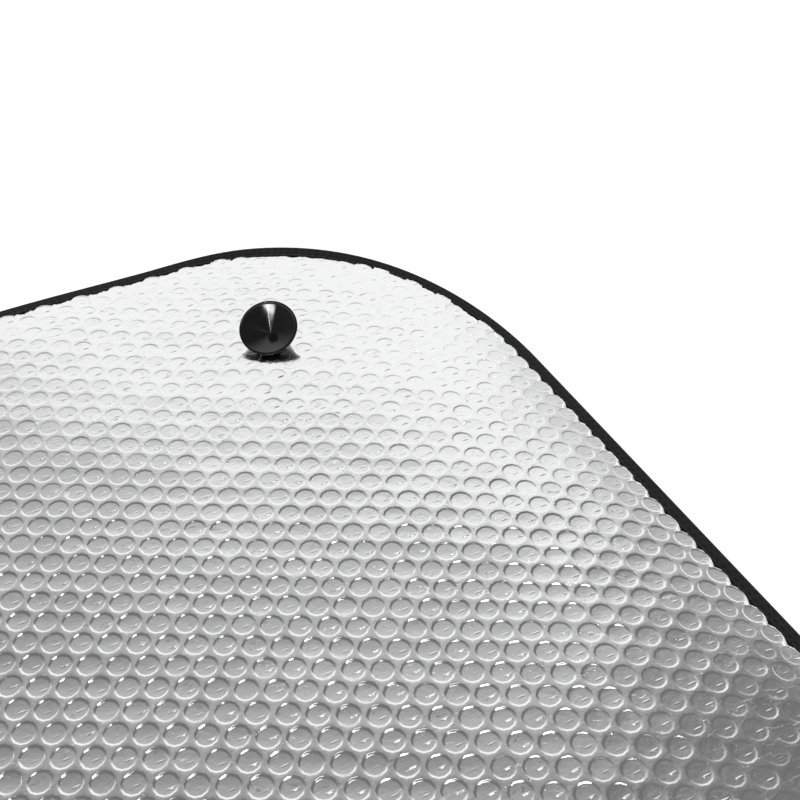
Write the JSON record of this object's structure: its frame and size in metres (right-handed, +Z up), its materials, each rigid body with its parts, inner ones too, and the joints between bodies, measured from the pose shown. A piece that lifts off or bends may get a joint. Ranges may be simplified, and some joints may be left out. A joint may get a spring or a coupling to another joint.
{
  "type": "car sunshade",
  "caption": "Rectangular bubble-foil windscreen sunshade with rounded corners, a taped edge and suction cups that turn in their holes, lying open with its cups up.",
  "frame": {"origin": "on the floor under the middle of the shade", "axes": "+X along the long side, +Y across the short side towards the back edge, +Z up"},
  "size_m": [1.3, 0.6, 0.0355],
  "materials": {
    "metallised_foil": "bright metallised film, dished over rows of air bubbles",
    "woven_tape": "black woven polyester tape",
    "black_pvc": "glossy black soft PVC"
  },
  "bodies": {
    "shade": {"foil_panel": "metallised_foil", "edge_binding": "woven_tape"},
    "cup_back_right": {"suction_cup_back_right": "black_pvc"},
    "cup_front_right": {"suction_cup_front_right": "black_pvc"},
    "cup_back_left": {"suction_cup_back_left": "black_pvc"},
    "cup_front_left": {"suction_cup_front_left": "black_pvc"}
  },
  "joints": [
    {"name": "back_right_turn", "type": "hinge", "parent": "shade", "child": "cup_back_right", "pos_m": [0.526, 0.208, 0.01651], "axis": [-0.2918, -0.3872, 0.8746], "continuous": true},
    {"name": "front_right_turn", "type": "hinge", "parent": "shade", "child": "cup_front_right", "pos_m": [0.526, -0.208, 0.01651], "axis": [-0.2918, 0.3872, 0.8746], "continuous": true},
    {"name": "back_left_turn", "type": "hinge", "parent": "shade", "child": "cup_back_left", "pos_m": [-0.526, 0.208, 0.01651], "axis": [0.2918, -0.3872, 0.8746], "continuous": true},
    {"name": "front_left_turn", "type": "hinge", "parent": "shade", "child": "cup_front_left", "pos_m": [-0.526, -0.208, 0.01651], "axis": [0.2918, 0.3872, 0.8746], "continuous": true}
  ]
}
